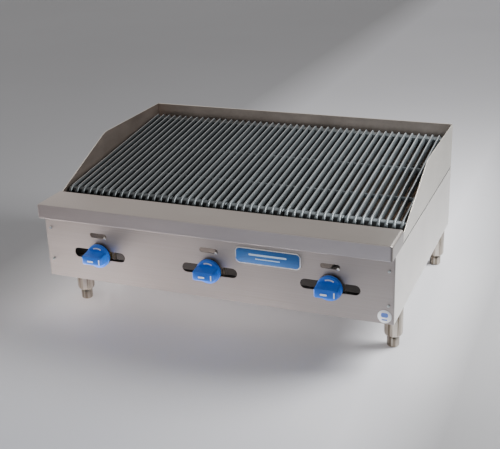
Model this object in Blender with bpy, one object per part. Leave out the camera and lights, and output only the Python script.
"""Countertop gas charbroiler, 36 inches wide, with three burners and six cast-iron grates.

Units are metres, +Z is up, +X is the operator's right and the front faces -Y. Heights are above the
counter. Every piece hangs on one empty at the face of the front panel, so depths are measured back
from that face. One node is one physical piece, and moving pieces have their origin on their axis.
"""

import math

import bmesh
import bpy
from mathutils import Matrix, Vector

# Driving dimensions
INCH = 0.0254
WIDTH = 36 * INCH
SECTION = 12 * INCH  # the width that one burner heats
BODY_DEPTH = 26 * INCH
BODY_BOTTOM = 0.116
BODY_TOP = 0.2854  # seam between the body and the splash guards
SPLASH_TOP = 0.412
SLOT_HEIGHT = 0.1905
KNOB_HEIGHT = 0.192
KNOB_REACH = 0.045  # how far a knob stands out of the front panel
SHEET = 0.002  # stainless sheet
GAP = 0.0003  # clearance between pieces that touch
SEAM = 0.0016  # open joint that shows between the body and the guards
OVERLAP = 0.001  # how far joined shapes run into each other
THROUGH = 0.010  # how far a cutter reaches past a face

HALF = WIDTH / 2
FACE_Y = -BODY_DEPTH / 2  # the gas inlet reaches as far behind the body as a knob does in front
BURNER_CENTRES = (-SECTION, 0.0, SECTION)
FORWARD = Matrix.Rotation(math.radians(90), 4, "X")  # turns a piece made along +Z to point at -Y

# Rail and splash
RAIL_FRONT = -0.031
RAIL_BACK = 0.072
RAIL_TOP = 0.323
RAIL_END_RADIUS = 0.007
RAIL_EDGE_RADII = (0.002, 0, 0, 0.0028)
GUARD_FRONT = 0.0755
GUARD_FRONT_TOP = 0.312
GUARD_KNEE = 0.326
GUARD_INSET = 0.0006
FLANGE = 0.018
BACK_GUARD_DEPTH = 0.656
HEM = 0.010

# Grates: eight bars each, spaced so that the spacing carries on across the seams between grates
GRATES = 6
BARS = 8
BAR_PITCH = 0.0189
GRATE_PITCH = BARS * BAR_PITCH
GRATE_HALF = GRATE_PITCH / 2 - 0.0002
BAR_DEPTH = 0.020
BAR_TOP_HALF = 0.0024
BAR_SHOULDER_HALF = 0.0044
BAR_FOOT_HALF = 0.0034
BAR_SHOULDER_DROP = 0.0060
GRATE_SLOPE = 55 / 465
GRATE_KNEE = (0.124, 0.3247)  # depth and height where a bar's top becomes straight
GRATE_NOSE = 0.1055
NOSE_DROP = 0.0085
TOE = (0.117, 0.133)  # front crossbar of a grate
HEEL = (0.609, 0.634)  # rear crossbar
TOE_DROP = 0.005  # how far below the bars' tops each crossbar stays
HEEL_DROP = 0.0025
RIB_DEPTHS = (0.254, 0.422)
RIB_DROP = 0.0065
RIB_HEIGHT = 0.0105
RIB_HALF = 0.0035
FRONT_REST_TOP = 0.2960
REAR_REST_TOP = 0.3580

# Gas train and firebox
PIPE_RADIUS = 0.01335
PIPE_BORE = 0.0105
MANIFOLD_DEPTH = 0.040
MANIFOLD_HEIGHT = 0.150
SUPPLY_X = 0.410
PASSAGE_RADIUS = 0.015  # clearance hole for the supply pipe
STEM_RADIUS = 0.004
VALVE_OFFSET = 0.002
PILOT_OFFSET = 0.0205
PILOT_HEIGHT = 0.239
PILOT_SLOT_HEIGHT = 0.2425
BAFFLE_DEPTH = 0.084
FIREBOX_HALF = 0.4355
BURNER_REST_TOP = 0.1897
RADIANT_REST_TOP = 0.252
PILOT_HOLE_OFFSET = 0.030
PILOT_HOLE_HEIGHT = 0.232

# Legs
LEG_X = 0.430
LEG_DEPTHS = (0.116, 0.628)
STUD_HOLE = 0.0065
LEG_BOTTOM = 0.0293
STUD_TOP = 0.132


# Materials


def material(name, colour, roughness, metallic):
    made = bpy.data.materials.new(name)
    made.use_nodes = True
    shader = made.node_tree.nodes["Principled BSDF"]
    shader.inputs["Base Color"].default_value = (*colour, 1.0)
    shader.inputs["Roughness"].default_value = roughness
    shader.inputs["Metallic"].default_value = metallic
    return made


# Shapes: each function returns a bmesh that is one closed body


def box(x, y, z, bevel=0.0):
    """A block between two values on each axis, given in either order."""
    shape = bmesh.new()
    bmesh.ops.create_cube(shape, size=1.0)
    size = [abs(pair[1] - pair[0]) for pair in (x, y, z)]
    centre = [(pair[0] + pair[1]) / 2 for pair in (x, y, z)]
    bmesh.ops.scale(shape, vec=size, verts=shape.verts)
    bmesh.ops.translate(shape, vec=centre, verts=shape.verts)
    if bevel:
        bmesh.ops.bevel(shape, geom=shape.edges[:], offset=bevel, segments=2, profile=0.5, affect="EDGES")
    return shape


def rod(start, end, radius, sides=16):
    """A round bar between two points."""
    start = Vector(start)
    end = Vector(end)
    turn = (end - start).to_track_quat("Z", "Y").to_matrix().to_4x4()
    place = Matrix.Translation((start + end) / 2) @ turn
    shape = bmesh.new()
    bmesh.ops.create_cone(
        shape,
        cap_ends=True,
        segments=sides,
        radius1=radius,
        radius2=radius,
        depth=(end - start).length,
        matrix=place,
    )
    return shape


def lofted(rings):
    """A closed body through rings of equally many points, with a flat cap at each end."""
    shape = bmesh.new()
    layers = [[shape.verts.new(point) for point in ring] for ring in rings]
    count = len(layers[0])
    for lower, upper in zip(layers, layers[1:]):
        for i in range(count):
            j = (i + 1) % count
            shape.faces.new((lower[i], lower[j], upper[j], upper[i]))
    shape.faces.new(layers[0][::-1])
    shape.faces.new(layers[-1])
    bmesh.ops.recalc_face_normals(shape, faces=shape.faces)
    return shape


def prism(outline, axis, low, high):
    """A flat outline carried along X, Y or Z. Its two coordinates are the other axes, in X, Y, Z order."""
    index = "XYZ".index(axis)
    rings = []
    for level in (low, high):
        ring = []
        for point in outline:
            corner = list(point)
            corner.insert(index, level)
            ring.append(corner)
        rings.append(ring)
    return lofted(rings)


def turned(profile, sides=20):
    """A body turned about Z from (radius, height) points that start and end on the axis."""
    shape = bmesh.new()
    verts = [shape.verts.new((radius, 0.0, height)) for radius, height in profile]
    edges = [shape.edges.new(pair) for pair in zip(verts, verts[1:])]
    bmesh.ops.spin(
        shape,
        geom=verts + edges,
        axis=(0.0, 0.0, 1.0),
        cent=(0.0, 0.0, 0.0),
        angle=2 * math.pi,
        steps=sides,
        use_merge=True,
    )
    bmesh.ops.remove_doubles(shape, verts=shape.verts, dist=1e-6)
    bmesh.ops.recalc_face_normals(shape, faces=shape.faces)
    return shape


def rounded(outline, radii, steps=4):
    """The outline with each corner of a non-zero radius replaced by an arc."""
    points = []
    for i, corner in enumerate(outline):
        radius = radii[i]
        corner = Vector(corner)
        if not radius:
            points.append(tuple(corner))
            continue
        before = (Vector(outline[i - 1]) - corner).normalized()
        after = (Vector(outline[(i + 1) % len(outline)]) - corner).normalized()
        half = before.angle(after) / 2
        centre = corner + (before + after).normalized() * (radius / math.sin(half))
        start = (corner + before * (radius / math.tan(half)) - centre).normalized()
        end = (corner + after * (radius / math.tan(half)) - centre).normalized()
        for step in range(steps + 1):
            points.append(tuple(centre + start.slerp(end, step / steps) * radius))
    return points


def rectangle(centre, width, height, radius, steps=4):
    x, z = centre
    corners = [
        (x - width / 2, z - height / 2),
        (x + width / 2, z - height / 2),
        (x + width / 2, z + height / 2),
        (x - width / 2, z + height / 2),
    ]
    return rounded(corners, [radius] * 4, steps)


def slot(centre, length, height):
    """A slot with nearly round ends, cut from front to back through the front panel."""
    outline = rectangle(centre, length, height, 0.499 * height)
    return prism(outline, "Y", -THROUGH, THROUGH)


def drilled(axis_point, reach, radius, sides=16):
    """A cutter for a hole along Y, from one depth to another."""
    x, z = axis_point
    return rod((x, reach[0], z), (x, reach[1], z), radius, sides)


def across(half):
    """The extent along X of a piece as wide on one side as on the other."""
    return (-half, half)


# Objects


def helper(shapes):
    """One hidden object that holds several shapes, for a Boolean to read."""
    mesh = bpy.data.meshes.new("helper")
    joined = bmesh.new()
    for shape in shapes:
        shape.to_mesh(mesh)
        joined.from_mesh(mesh)
        shape.free()
    joined.to_mesh(mesh)
    joined.free()
    obj = bpy.data.objects.new("helper", mesh)
    obj.hide_render = True
    obj.display_type = "WIRE"
    bpy.context.scene.collection.objects.link(obj)
    return obj


def solid(base, add=(), cut=()):
    """The mesh of one shape, with others joined to it and then others cut away."""
    work = [helper([base])]
    for operation, shapes in (("UNION", add), ("DIFFERENCE", cut)):
        if shapes:
            tool = helper(shapes)
            work.append(tool)
            boolean = work[0].modifiers.new(operation.lower(), "BOOLEAN")
            boolean.operation = operation
            boolean.solver = "EXACT"
            boolean.use_self = len(shapes) > 1
            boolean.object = tool
    graph = bpy.context.evaluated_depsgraph_get()
    mesh = bpy.data.meshes.new_from_object(work[0].evaluated_get(graph))
    mesh.shade_smooth()
    mesh.set_sharp_from_angle(angle=math.radians(35))
    for obj in work:
        bpy.data.objects.remove(obj)
    return mesh


def piece(name, mesh, look, location=(0.0, 0.0, 0.0)):
    """A named object on the body's empty. Copies of a repeated piece share one mesh and its material."""
    obj = bpy.data.objects.new(name, mesh)
    bpy.context.scene.collection.objects.link(obj)
    if not mesh.materials:
        mesh.materials.append(look)
    obj.location = location
    obj.parent = bpy.data.objects["body"]
    return obj


def clear_scene():
    for obj in list(bpy.data.objects):
        bpy.data.objects.remove(obj)


# Casing


SCREW_X = 0.4435
SCREW_HEIGHTS = (0.249, 0.163)
SCREW_HOLE = 0.0025
FACE_HALF = HALF - SHEET - 0.0005
FRONT_FOLD = 0.015
TOP_FOLD = 0.022
FOOT_FLANGE = 0.055
END_FLANGE = 0.028
TOP_FLANGE = 0.020
FLANGE_RELIEF = 0.003  # how far the end flanges stop short of the folds above and below
AIR_SLOT = (0.146, INCH)
PILOT_SLOT = (0.048, 0.0125)
BACK_FOLD_HALF = 0.434
BASE_HALF = 0.454
BASE_TOP = 0.134
BASE_FRONT = (0.088, 0.146)
BASE_REAR = (0.600, 0.6545)
GUARD_FOOT = (0.080, 0.650)
BADGE_SIZE = (0.165, 0.042)
BADGE_RADIUS = 0.012
BADGE_FRONT = -0.0018
BADGE_PLACE = (0.1525, 0, 0.243)
LABEL_RADIUS = 0.0165
LABEL_FRONT = -0.0009
LABEL_PLACE = (0.435, 0, 0.135)


def stud_hole(x, y):
    return rod((x, y, BODY_BOTTOM - THROUGH), (x, y, BODY_BOTTOM + THROUGH), STUD_HOLE, 12)


def side_panel(side):
    """Folded sheet: flanges for the front and back panels, the guard above and the legs below."""
    inner = side * (HALF - SHEET / 2)
    front = (SHEET + GAP, 2 * SHEET + GAP)
    rear = (BODY_DEPTH - 2 * SHEET - GAP, BODY_DEPTH - SHEET - GAP)
    along = (FRONT_FOLD + OVERLAP, BODY_DEPTH - 3 * SHEET)
    upright = (BODY_BOTTOM + FLANGE_RELIEF, BODY_TOP - FLANGE_RELIEF)
    top = (TOP_FOLD + SHEET, along[1])
    sheet = box((side * (HALF - SHEET), side * HALF), (0, BODY_DEPTH), (BODY_BOTTOM, BODY_TOP))
    flanges = [
        box((side * (HALF - END_FLANGE), inner), front, upright),
        box((side * (HALF - END_FLANGE), inner), rear, upright),
        box((side * (HALF - TOP_FLANGE), inner), top, (BODY_TOP - SHEET, BODY_TOP)),
        box((side * (HALF - FOOT_FLANGE), inner), along, (BODY_BOTTOM, BODY_BOTTOM + SHEET)),
    ]
    holes = [drilled((side * SCREW_X, z), across(THROUGH), SCREW_HOLE, 8) for z in SCREW_HEIGHTS]
    for y in LEG_DEPTHS:
        holes.append(stud_hole(side * LEG_X, y))
    return solid(sheet, flanges, holes)


def front_panel():
    """Flat sheet folded back along its top and bottom, with air, stem and pilot slots."""
    bottom = BODY_BOTTOM + GAP
    wide = across(FACE_HALF)
    face = box(wide, (0, SHEET), (bottom, BODY_TOP))
    folds = [
        box(wide, (SHEET / 2, FRONT_FOLD), (bottom, bottom + SHEET)),
        box(wide, (SHEET / 2, TOP_FOLD), (BODY_TOP - SHEET, BODY_TOP)),
    ]
    cuts = []
    for x in BURNER_CENTRES:
        cuts.append(slot((x, SLOT_HEIGHT), *AIR_SLOT))
        cuts.append(slot((x, PILOT_SLOT_HEIGHT), *PILOT_SLOT))
    for side in (-1, 1):
        for z in SCREW_HEIGHTS:
            cuts.append(drilled((side * SCREW_X, z), across(THROUGH), SCREW_HOLE, 8))
    return solid(face, folds, cuts)


def back_panel():
    rear = (BODY_DEPTH - SHEET, BODY_DEPTH)
    bottom = BODY_BOTTOM + GAP
    face = box(across(FACE_HALF), rear, (bottom, BODY_TOP))
    inward = (BODY_DEPTH - TOP_FLANGE, BODY_DEPTH - SHEET / 2)
    fold = box(across(BACK_FOLD_HALF), inward, (BODY_TOP - SHEET, BODY_TOP))
    reach = (BODY_DEPTH - THROUGH, BODY_DEPTH + THROUGH)
    passage = drilled((SUPPLY_X, MANIFOLD_HEIGHT), reach, PASSAGE_RADIUS)
    return solid(face, [fold], [passage])


def base_member(depth, front, rear):
    """A channel across the bottom that ties the side panels together above the legs."""
    bottom = BODY_BOTTOM + SHEET + GAP
    wide = across(BASE_HALF)
    upright = (bottom + SHEET / 2, BASE_TOP)
    web = box(wide, (front, rear), (bottom, bottom + SHEET))
    walls = [box(wide, (front, front + SHEET), upright), box(wide, (rear - SHEET, rear), upright)]
    holes = [stud_hole(x, depth) for x in (-LEG_X, LEG_X)]
    return solid(web, walls, holes)


def rail_ring(x, inset):
    """The rail's outline at one place along X, with its front and top drawn in by the inset."""
    low = BODY_TOP + GAP
    front = RAIL_FRONT + inset
    top = RAIL_TOP - inset
    outline = rounded([(front, low), (RAIL_BACK, low), (RAIL_BACK, top), (front, top)], RAIL_EDGE_RADII)
    return [(x, y, z) for y, z in outline]


def front_rail():
    """A box-shaped landing ledge with closed, rounded ends, open below where it sits over the body."""
    low = BODY_TOP + GAP
    steps = 4
    rings = []
    for step in range(steps + 1):
        turn = math.radians(90) * step / steps
        x = HALF - RAIL_END_RADIUS * (1 - math.sin(turn))
        rings.append(rail_ring(x, RAIL_END_RADIUS * (1 - math.cos(turn))))
    mirrored = [[(-x, y, z) for x, y, z in ring] for ring in reversed(rings)]
    inside = across(HALF - RAIL_END_RADIUS)
    back = RAIL_BACK - SHEET
    hollow = box(inside, (RAIL_FRONT + SHEET, back), (low + SHEET, RAIL_TOP - SHEET))
    mouth = box(inside, (OVERLAP, back), (low - THROUGH, low + 2 * SHEET))
    return solid(lofted(mirrored + rings), (), [hollow, mouth])


def splash_guard(side):
    """Side guard: level along the back, sloped down to the rail, with a foot along the body's edge."""
    low = BODY_TOP + GAP
    edge = BODY_TOP + SEAM
    corners = [
        (GUARD_FRONT, edge),
        (BODY_DEPTH, edge),
        (BODY_DEPTH, SPLASH_TOP),
        (GUARD_KNEE, SPLASH_TOP),
        (GUARD_FRONT, GUARD_FRONT_TOP),
    ]
    outline = rounded(corners, [0, 0, 0.002, 0.08, 0.004])
    outer = side * (HALF - GUARD_INSET)
    inner = outer - side * SHEET
    sheet = prism(outline, "X", min(outer, inner), max(outer, inner))
    foot = box((inner - side * FLANGE, inner + side * SHEET / 2), GUARD_FOOT, (low, low + SHEET))
    return solid(sheet, [foot])


def splash_back():
    """Back guard with a folded hem along its top and a foot along the body's edge."""
    low = BODY_TOP + GAP
    wide = across(HALF - GUARD_INSET - SHEET - GAP)
    front = BACK_GUARD_DEPTH
    middle = front + SHEET / 2
    sheet = box(wide, (front, front + SHEET), (BODY_TOP + SEAM, SPLASH_TOP))
    hem = box(wide, (middle, front + 2 * SHEET), (SPLASH_TOP - HEM, SPLASH_TOP))
    foot = box(across(BACK_FOLD_HALF), (front - FLANGE, middle), (low, low + SHEET))
    return solid(sheet, [hem, foot])


def panel_screw():
    """Pan-head screw, made pointing up from the panel's face at zero."""
    head = 0.0028
    length = 0.009
    shank = 0.002
    radius = 0.0037
    profile = [
        (0, -length),
        (shank, -length),
        (shank, GAP),
        (radius, GAP),
        (radius, head / 2),
        (0.7 * radius, head),
        (0, head),
    ]
    mesh = solid(turned(profile, 10))
    mesh.transform(FORWARD)
    return mesh


def casing(steel, bright, blue, white):
    for side, word in ((-1, "left"), (1, "right")):
        piece(f"side_panel_{word}", side_panel(side), steel)
        piece(f"splash_{word}", splash_guard(side), steel)
    piece("front_panel", front_panel(), steel)
    piece("back_panel", back_panel(), steel)
    piece("base_front", base_member(LEG_DEPTHS[0], *BASE_FRONT), steel)
    piece("base_rear", base_member(LEG_DEPTHS[1], *BASE_REAR), steel)
    piece("front_rail", front_rail(), steel)
    piece("splash_back", splash_back(), steel)
    screw = panel_screw()
    number = 0
    for x in (-SCREW_X, SCREW_X):
        for z in SCREW_HEIGHTS:
            number += 1
            piece(f"panel_screw_{number}", screw, bright, (x, 0, z))
    plate = prism(rectangle((0, 0), *BADGE_SIZE, BADGE_RADIUS), "Y", BADGE_FRONT, -GAP)
    disc = rod((0, -GAP, 0), (0, LABEL_FRONT, 0), LABEL_RADIUS, 32)
    piece("badge", solid(plate), blue, BADGE_PLACE)
    piece("label", solid(disc), white, LABEL_PLACE)


# Firebox


FIREBOX_WIDTH = across(FIREBOX_HALF)
BAFFLE_HEIGHTS = (0.122, 0.297)
RADIANT_LEDGE_BACK = 0.106
VENTURI_HOLE = 0.024
PILOT_HOLE = 0.007
REST_HEIGHTS = (0.168, RADIANT_REST_TOP)
REST_DEPTHS = (0.628, 0.630)
BURNER_LEDGE_FRONT = 0.595
RADIANT_LEDGE_FRONT = 0.606


def shelf(front, rear, top):
    """A level sheet across the firebox, from one depth to another, by the height of its top."""
    return box(FIREBOX_WIDTH, (front, rear), (top - SHEET, top))


def firebox_front():
    """Baffle between the gas train and the fire, folded back as a ledge for the radiants."""
    sheet = box(FIREBOX_WIDTH, (BAFFLE_DEPTH, BAFFLE_DEPTH + SHEET), BAFFLE_HEIGHTS)
    ledge = shelf(BAFFLE_DEPTH + SHEET / 2, RADIANT_LEDGE_BACK, RADIANT_REST_TOP)
    reach = (BAFFLE_DEPTH - THROUGH, BAFFLE_DEPTH + THROUGH)
    holes = [drilled((SUPPLY_X, MANIFOLD_HEIGHT), reach, PASSAGE_RADIUS)]
    for x in BURNER_CENTRES:
        holes.append(drilled((x, KNOB_HEIGHT), reach, VENTURI_HOLE, 20))
        holes.append(drilled((x + PILOT_HOLE_OFFSET, PILOT_HOLE_HEIGHT), reach, PILOT_HOLE, 8))
    return solid(sheet, [ledge], holes)


def rear_rest():
    """Upright with two ledges: the lower carries the burners, the upper carries the radiants."""
    upright = box(FIREBOX_WIDTH, REST_DEPTHS, REST_HEIGHTS)
    middle = sum(REST_DEPTHS) / 2
    ledges = [
        shelf(BURNER_LEDGE_FRONT, middle, BURNER_REST_TOP),
        shelf(RADIANT_LEDGE_FRONT, middle, RADIANT_REST_TOP),
    ]
    return solid(upright, ledges)


def grate_support_front():
    """Angle on the back of the baffle, under the toes of the grates."""
    front = BAFFLE_DEPTH + SHEET + 0.0005
    level = shelf(front, TOE[1] + 2 * SHEET, FRONT_REST_TOP)
    web = box(FIREBOX_WIDTH, (front, front + SHEET), (FRONT_REST_TOP - 0.026, FRONT_REST_TOP - SHEET / 2))
    return solid(level, [web])


def grate_support_rear():
    """Angle on the front of the back guard, under the heels of the grates."""
    wide = across(HALF - 0.0052)
    rear = BACK_GUARD_DEPTH - GAP
    level = box(wide, (HEEL[0] + 0.003, rear), (REAR_REST_TOP - SHEET, REAR_REST_TOP))
    web = box(wide, (rear - SHEET, rear), (REAR_REST_TOP - 0.023, REAR_REST_TOP - SHEET / 2))
    return solid(level, [web])


def burner():
    """Cast H-burner: a venturi with an open mouth feeds two long arms through a cross body."""
    low = BURNER_REST_TOP + GAP
    top = low + 0.030
    arm_inside = 0.040
    arm_outside = 0.070
    arm_depths = (0.130, 0.612)
    cross_depths = (0.320, 0.380)
    bridge_depths = (0.135, 0.160)
    bridge_heights = (low + 0.006, top - 0.006)
    mouth = 0.067
    centre = (0, KNOB_HEIGHT)
    cross = box(across(arm_outside - 0.005), cross_depths, (low + OVERLAP, top - OVERLAP))
    arms = [box((side * arm_inside, side * arm_outside), arm_depths, (low, top), 0.004) for side in (-1, 1)]
    bridge = box(across(arm_inside + 0.005), bridge_depths, bridge_heights)
    venturi = drilled(centre, (mouth + SHEET, cross_depths[0] + THROUGH), 0.019, 20)
    bell = drilled(centre, (mouth, mouth + 0.008), 0.0225, 20)
    throat = drilled(centre, (mouth - THROUGH, 0.220), 0.016)
    return solid(cross, arms + [bridge, venturi, bell], [throat])


def radiant():
    """Inverted V of heavy plate that spreads one burner's heat and sheds the drippings."""
    low = RADIANT_REST_TOP + GAP
    half = 0.110
    crest = 0.040
    thick = 0.005
    depths = (0.0905, 0.6265)
    outline = [
        (-half, low),
        (0, low + crest),
        (half, low),
        (half - thick, low),
        (0, low + crest - thick),
        (-half + thick, low),
    ]
    return solid(prism(outline, "Y", *depths))


def bar_top(depth):
    knee_depth, knee_height = GRATE_KNEE
    return knee_height + GRATE_SLOPE * (depth - knee_depth)


def bar(x):
    """One grate bar: a narrow top on wider shoulders, and a nose that curves down in front."""
    steps = 3
    stations = []
    for step in range(steps + 1):
        depth = GRATE_NOSE + (GRATE_KNEE[0] - GRATE_NOSE) * step / steps
        stations.append((depth, bar_top(depth) - NOSE_DROP * (1 - step / steps) ** 2))
    end = HEEL[1] - OVERLAP
    stations.append((end, bar_top(end)))
    rings = []
    for depth, top in stations:
        foot = bar_top(depth) - BAR_DEPTH
        shoulder = top - BAR_SHOULDER_DROP
        right = [(BAR_FOOT_HALF, foot), (BAR_SHOULDER_HALF, shoulder), (BAR_TOP_HALF, top)]
        left = [(-half, height) for half, height in reversed(right)]
        rings.append([(x + half, depth, height) for half, height in right + left])
    return lofted(rings)


def sloped_bar(x, y, drop, thick):
    """A block whose top follows the grate's slope, this far below the tops of the bars."""
    rings = []
    for depth in y:
        top = bar_top(depth) - drop
        corners = [(x[0], top - thick), (x[1], top - thick), (x[1], top), (x[0], top)]
        rings.append([(across, depth, height) for across, height in corners])
    return lofted(rings)


def grate():
    """Cast grate: eight bars, two cross ribs, and a toe and a heel that rest on the supports."""
    first = -(BARS - 1) * BAR_PITCH / 2
    shapes = [bar(first + i * BAR_PITCH) for i in range(BARS)]
    inner = (first, -first)
    shapes.append(box(inner, TOE, (FRONT_REST_TOP + GAP, bar_top(TOE[0]) - TOE_DROP)))
    shapes.append(box(across(GRATE_HALF), HEEL, (REAR_REST_TOP + GAP, bar_top(HEEL[0]) - HEEL_DROP)))
    for depth in RIB_DEPTHS:
        shapes.append(sloped_bar(inner, (depth - RIB_HALF, depth + RIB_HALF), RIB_DROP, RIB_HEIGHT))
    return solid(shapes[0], shapes[1:])


def firebox(steel, iron):
    piece("firebox_front", firebox_front(), steel)
    piece("rear_rest", rear_rest(), steel)
    piece("grate_support_front", grate_support_front(), steel)
    piece("grate_support_rear", grate_support_rear(), steel)
    burner_mesh = burner()
    radiant_mesh = radiant()
    grate_mesh = grate()
    for number, x in enumerate(BURNER_CENTRES, 1):
        piece(f"burner_{number}", burner_mesh, iron, (x, 0, 0))
        piece(f"radiant_{number}", radiant_mesh, iron, (x, 0, 0))
    for number in range(GRATES):
        x = (number - (GRATES - 1) / 2) * GRATE_PITCH
        piece(f"grate_{number + 1}", grate_mesh, iron, (x, 0, 0))


# Gas train


ELBOW_REACH = 0.025


def gas_manifold():
    """Straight pipe along the front, capped at its left end."""
    place = (MANIFOLD_DEPTH, MANIFOLD_HEIGHT)
    closed_end = -0.400
    cap = 0.005
    pipe = rod((closed_end, *place), (SUPPLY_X - ELBOW_REACH, *place), PIPE_RADIUS, 20)
    bore = rod((closed_end + cap, *place), (SUPPLY_X, *place), PIPE_BORE)
    return solid(pipe, (), [bore])


def supply_pipe():
    """Elbow on the end of the manifold and the pipe that runs back to the inlet behind the body."""
    y = MANIFOLD_DEPTH
    z = MANIFOLD_HEIGHT
    half = 0.0175
    collar = 0.0165
    left = SUPPLY_X - ELBOW_REACH + GAP
    inlet = BODY_DEPTH + KNOB_REACH
    centre = (SUPPLY_X, z)
    pipe = drilled(centre, (y + half / 2, inlet), PIPE_RADIUS, 20)
    fitting = [
        box((left, SUPPLY_X + half), (y - half, y + half), (z - half, z + half), 0.006),
        drilled(centre, (y + half / 2, y + 0.030), collar, 12),
    ]
    bores = [
        drilled(centre, (y - 0.006, inlet + THROUGH), PIPE_BORE),
        rod((left - THROUGH, y, z), (SUPPLY_X + 0.004, y, z), 0.0095, 12),
    ]
    return solid(pipe, fitting, bores)


def gas_valve():
    """Plug valve on the manifold, around the knob's axis: a nose for the stem and an orifice hood."""
    foot = MANIFOLD_HEIGHT + PIPE_RADIUS + GAP - KNOB_HEIGHT
    axis = (0, 0)
    front = 0.022
    rear = 0.054
    body = drilled(axis, (front, rear), 0.0135)
    nose = drilled(axis, (front - THROUGH, front + SHEET), 0.0085, 12)
    hood = drilled(axis, (rear - OVERLAP, rear + THROUGH), 0.0075, 6)
    tail = rod((0, MANIFOLD_DEPTH, foot), (0, MANIFOLD_DEPTH, 0), 0.0090, 12)
    guide = drilled(axis, (0, 0.0395), STEM_RADIUS + 0.0004, 12)
    return solid(body, [nose, hood, tail], [guide])


PILOT_BODY_BACK = 0.050


def pilot_valve():
    """Small standpipe on the manifold whose adjusting screw reaches out through the pilot slot."""
    foot = MANIFOLD_HEIGHT + PIPE_RADIUS + GAP
    axis = (0, PILOT_HEIGHT)
    front = MANIFOLD_DEPTH - THROUGH
    pipe = rod((0, MANIFOLD_DEPTH, foot), (0, MANIFOLD_DEPTH, PILOT_HEIGHT), 0.005, 10)
    body = drilled(axis, (front, PILOT_BODY_BACK), 0.0065, 10)
    screw = drilled(axis, (-SHEET, front + SHEET), 0.0015, 8)
    head = drilled(axis, (-0.0042, -OVERLAP), 0.0040, 12)
    return solid(pipe, [body, screw, head])


def pilot_tube(name, x, look):
    """Thin tube from the pilot valve through the baffle to the burner's edge."""
    end = PILOT_HOLE_HEIGHT - 0.001
    route = [
        (x + PILOT_OFFSET, PILOT_BODY_BACK + OVERLAP, PILOT_HEIGHT),
        (x + PILOT_OFFSET + 0.002, 0.062, PILOT_HEIGHT - 0.001),
        (x + PILOT_HOLE_OFFSET - 0.002, 0.075, PILOT_HOLE_HEIGHT + 0.002),
        (x + PILOT_HOLE_OFFSET, BAFFLE_DEPTH + SHEET, PILOT_HOLE_HEIGHT),
        (x + 0.033, 0.110, end),
        (x + 0.046, 0.145, end),
        (x + 0.055, 0.175, end),
    ]
    curve = bpy.data.curves.new(name, "CURVE")
    curve.dimensions = "3D"
    curve.bevel_depth = 0.003
    curve.bevel_resolution = 2
    curve.use_fill_caps = True
    spline = curve.splines.new("POLY")
    spline.points.add(len(route) - 1)
    for point, place in zip(spline.points, route):
        point.co = (*place, 1.0)
    piece(name, curve, look)


STEM_FRONT = 0.034
STEM_BACK = 0.038


def knob():
    """Round skirt with a tapered bar grip and a blind bore, around its own axis."""
    axis = (0, 0)
    skirt_depths = (-0.0155, -0.003)
    skirt_radius = 0.031
    skirt = drilled(axis, skirt_depths, skirt_radius, 32)
    sections = (
        (-0.014, 0.056, 0.0300),
        (-0.030, 0.056, 0.0265),
        (-0.042, 0.055, 0.0235),
        (-KNOB_REACH, 0.051, 0.0195),
    )
    rings = []
    for depth, width, height in sections:
        outline = rectangle((0, 0), width, height, 0.005, 2)
        rings.append([(x, depth, z) for x, z in outline])
    bore = drilled(axis, (-STEM_FRONT - OVERLAP, 0), STEM_RADIUS + GAP, 12)
    return solid(skirt, [lofted(rings)], [bore])


def gas_train(black_pipe, brass, bright, blue):
    piece("gas_manifold", gas_manifold(), black_pipe)
    piece("supply_pipe", supply_pipe(), black_pipe)
    valve_mesh = gas_valve()
    stem_mesh = solid(drilled((0, 0), (-STEM_FRONT, STEM_BACK), STEM_RADIUS, 12))
    knob_mesh = knob()
    pilot_mesh = pilot_valve()
    for number, x in enumerate(BURNER_CENTRES, 1):
        axis = (x + VALVE_OFFSET, 0, KNOB_HEIGHT)
        piece(f"gas_valve_{number}", valve_mesh, brass, axis)
        piece(f"valve_stem_{number}", stem_mesh, bright, axis)
        piece(f"knob_{number}", knob_mesh, blue, axis)
        piece(f"pilot_valve_{number}", pilot_mesh, brass, (x + PILOT_OFFSET, 0, 0))
        pilot_tube(f"pilot_tube_{number}", x, bright)


# Grease tray


TRAY_HALF = 0.3972
TRAY_FRONT = 0.085
TRAY_BACK = 0.640
TRAY_BOTTOM = 0.0853
TRAY_TOP = 0.112
LIP_HALF = 0.070
LIP_REACH = 0.017
LIP_HEIGHT = 0.100
RUNNER_WEB = 0.398
RUNNER_BACK = 0.650
RUNNER_HEIGHTS = (0.083, 0.118)
UPPER_FOLD = 0.376
LOWER_FOLD = 0.384


def grease_tray():
    """Open tray under the whole firebox, with a finger lip in front."""
    shell = box(across(TRAY_HALF), (TRAY_FRONT, TRAY_BACK), (TRAY_BOTTOM, TRAY_TOP))
    reach = (TRAY_FRONT - LIP_REACH, TRAY_FRONT + SHEET / 2)
    lip = box(across(LIP_HALF), reach, (LIP_HEIGHT, LIP_HEIGHT + SHEET))
    inside = (TRAY_FRONT + SHEET, TRAY_BACK - SHEET)
    hollow = box(across(TRAY_HALF - SHEET), inside, (TRAY_BOTTOM + SHEET, TRAY_TOP + THROUGH))
    return solid(shell, [lip], [hollow])


def tray_runner(side):
    """Folded runner that hangs from the base members and carries one edge of the tray."""
    along = (TRAY_FRONT, RUNNER_BACK)
    bottom, top = RUNNER_HEIGHTS
    middle = side * (RUNNER_WEB + SHEET / 2)
    web = box((side * RUNNER_WEB, side * (RUNNER_WEB + SHEET)), along, RUNNER_HEIGHTS)
    folds = [
        box((side * UPPER_FOLD, middle), along, (top - SHEET, top)),
        box((side * LOWER_FOLD, middle), along, (bottom, bottom + SHEET)),
    ]
    return solid(web, folds)


def tray(steel):
    piece("grease_tray", grease_tray(), steel)
    for side, word in ((-1, "left"), (1, "right")):
        piece(f"tray_runner_{word}", tray_runner(side), steel)


# Legs


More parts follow.
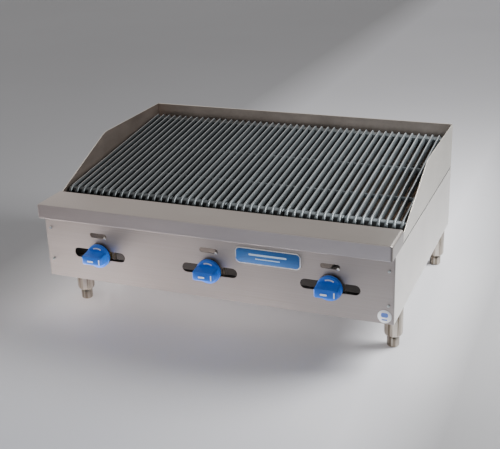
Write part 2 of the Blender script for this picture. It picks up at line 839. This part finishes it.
def leg():
    """Hollow leg around its own axis: a stud on top bolts it on, the bore below takes the foot."""
    bore = 0.0064
    bore_top = 0.085
    radius = 0.0230
    stud = 0.0058
    profile = [
        (0, bore_top),
        (bore, bore_top),
        (bore, LEG_BOTTOM),
        (radius - 0.004, LEG_BOTTOM),
        (radius, LEG_BOTTOM + 0.006),
        (radius, BODY_BOTTOM - GAP),
        (stud, BODY_BOTTOM - GAP),
        (stud, STUD_TOP),
        (0, STUD_TOP),
    ]
    return solid(turned(profile))


def foot():
    """Adjustable foot with a threaded shank that screws up into the leg."""
    radius = 0.0155
    shank = 0.006
    shank_top = 0.080
    top = LEG_BOTTOM - 0.0008
    profile = [
        (0, 0),
        (radius - 0.003, 0),
        (radius, 0.004),
        (radius, top),
        (shank, top),
        (shank, shank_top),
        (0, shank_top),
    ]
    return solid(turned(profile))


def legs(nickel):
    leg_mesh = leg()
    foot_mesh = foot()
    places = [(x, y, 0) for y in LEG_DEPTHS for x in (-LEG_X, LEG_X)]
    for number, place in enumerate(places, 1):
        piece(f"leg_{number}", leg_mesh, nickel, place)
        piece(f"foot_{number}", foot_mesh, nickel, place)


def main():
    clear_scene()
    body = bpy.data.objects.new("body", None)
    body.location = (0, FACE_Y, 0)
    bpy.context.scene.collection.objects.link(body)
    steel = material("stainless_steel", (0.48, 0.46, 0.44), 0.35, 1.0)
    bright = material("bright_steel", (0.62, 0.61, 0.60), 0.20, 1.0)
    iron = material("cast_iron", (0.055, 0.065, 0.072), 0.55, 0.3)
    nickel = material("nickel_plate", (0.66, 0.63, 0.58), 0.22, 1.0)
    brass = material("brass", (0.60, 0.45, 0.20), 0.35, 1.0)
    black_pipe = material("black_pipe", (0.03, 0.03, 0.035), 0.5, 0.4)
    blue = material("blue_plastic", (0.02, 0.17, 0.62), 0.35, 0.0)
    badge_blue = material("badge_blue", (0.02, 0.16, 0.48), 0.30, 0.2)
    white = material("white_label", (0.85, 0.86, 0.88), 0.45, 0.0)
    casing(steel, bright, badge_blue, white)
    firebox(steel, iron)
    gas_train(black_pipe, brass, bright, blue)
    tray(steel)
    legs(nickel)


main()
